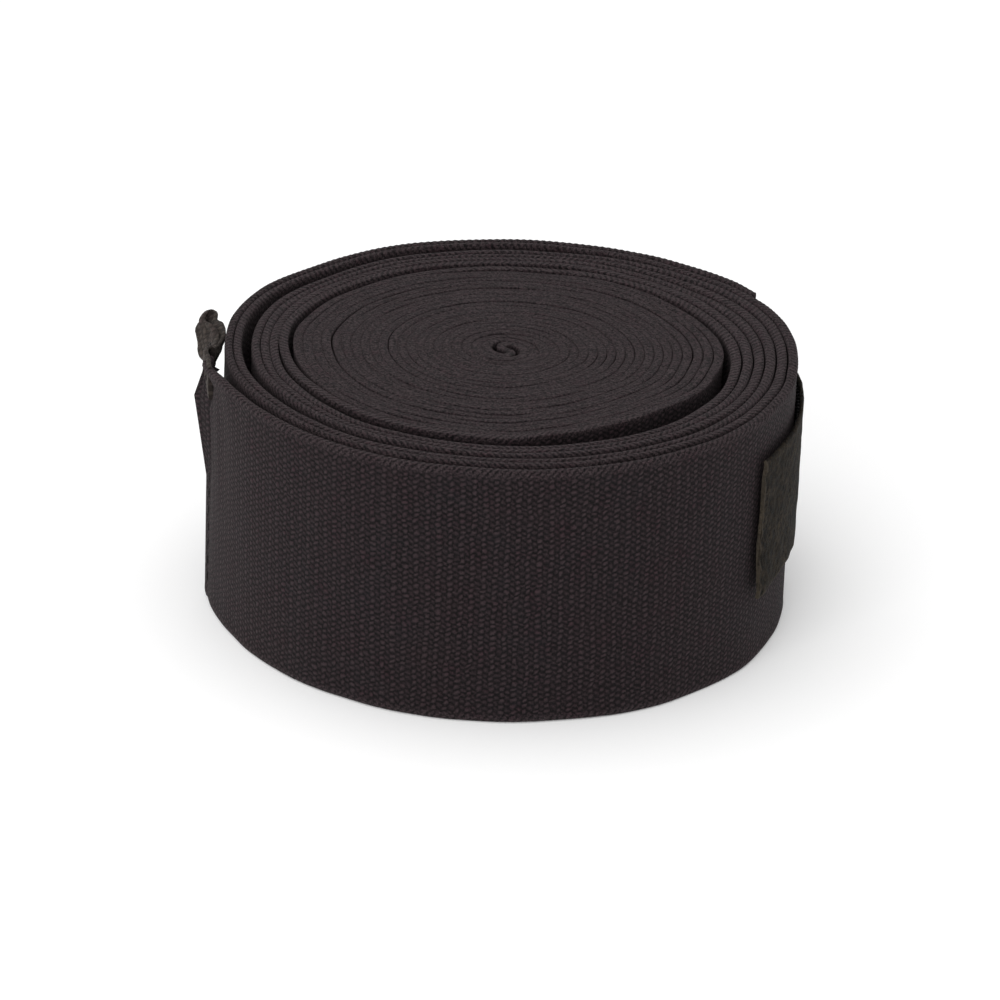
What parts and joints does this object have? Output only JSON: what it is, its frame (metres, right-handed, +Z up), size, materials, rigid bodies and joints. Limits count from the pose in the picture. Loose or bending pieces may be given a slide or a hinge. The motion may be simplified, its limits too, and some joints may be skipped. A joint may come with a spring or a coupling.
{
  "type": "hand wrap",
  "caption": "Rolled boxing hand wrap: a long black woven strip wound from its middle, with a hook-and-loop tab at one end and a thumb loop at the other.",
  "frame": {"origin": "the middle of the roll's core, on the surface that the roll stands on", "axes": "+Z up along the roll's axis; the hook tab is on the +X side, the thumb loop on the -X side, and -Y is the front"},
  "size_m": [0.115, 0.1071, 0.05],
  "materials": {
    "woven_cloth": "matte woven elastic cotton, black",
    "hook_tape": "matte woven nylon tape, worn olive black",
    "nylon_hooks": "fine stiff nylon hooks",
    "pile": "brushed nylon loops",
    "thread": "spun polyester sewing thread",
    "loop_tape": "matte cotton tape, slightly faded"
  },
  "bodies": {
    "roll": {"wound_core": "woven_cloth", "outer_wraps_closure_arm": "woven_cloth", "outer_wraps_thumb_arm": "woven_cloth", "pile_patch": "pile", "pile_patch_stitching": "thread"},
    "closure_near": {"closure_tail_near": "woven_cloth"},
    "closure_middle": {"closure_tail_middle": "woven_cloth"},
    "closure_end": {"closure_tail_end": "woven_cloth", "hook_tab_sewn_end": "hook_tape", "hook_tab_stitching": "thread"},
    "hook_tab": {"hook_tab_tape": "hook_tape", "hook_field": "nylon_hooks"},
    "thumb_near": {"thumb_tail_near": "woven_cloth"},
    "thumb_end": {"thumb_tail_end": "woven_cloth", "thumb_loop_sewn_end": "loop_tape", "thumb_end_stitching": "thread"},
    "thumb_loop": {"thumb_loop_tape": "loop_tape", "thumb_loop_bartack": "thread"}
  },
  "joints": [
    {"name": "closure_unwind", "type": "hinge", "parent": "roll", "child": "closure_near", "pos_m": [-0.02558, 0.0443, 0.025], "axis": [0, 0, 1], "range_deg": [0, 32]},
    {"name": "closure_unbend_middle", "type": "hinge", "parent": "closure_near", "child": "closure_middle", "pos_m": [-0.00033, 0.05154, 0.025], "axis": [0, 0, 1], "range_deg": [0, 32]},
    {"name": "closure_unbend_end", "type": "hinge", "parent": "closure_middle", "child": "closure_end", "pos_m": [0.02536, 0.04608, 0.025], "axis": [0, 0, 1], "range_deg": [0, 32]},
    {"name": "hook_tab_peel", "type": "hinge", "parent": "closure_end", "child": "hook_tab", "pos_m": [0.04677, 0.02894, 0.025], "axis": [0, 0, 1], "range_deg": [0, 110]},
    {"name": "thumb_unwind", "type": "hinge", "parent": "roll", "child": "thumb_near", "pos_m": [-0.03115, -0.04554, 0.025], "axis": [0, 0, 1], "range_deg": [0, 30]},
    {"name": "thumb_unbend_end", "type": "hinge", "parent": "thumb_near", "child": "thumb_end", "pos_m": [-0.0472, -0.02802, 0.025], "axis": [0, 0, 1], "range_deg": [0, 30]},
    {"name": "thumb_loop_swing", "type": "hinge", "parent": "thumb_end", "child": "thumb_loop", "pos_m": [-0.05434, -0.00536, 0.025], "axis": [0, 0, 1], "range_deg": [0, 75]}
  ],
  "couplings": [
    {"joint": "closure_unbend_middle", "follows": "closure_unwind", "ratio": 1},
    {"joint": "closure_unbend_end", "follows": "closure_unwind", "ratio": 1},
    {"joint": "thumb_unbend_end", "follows": "thumb_unwind", "ratio": 1}
  ]
}
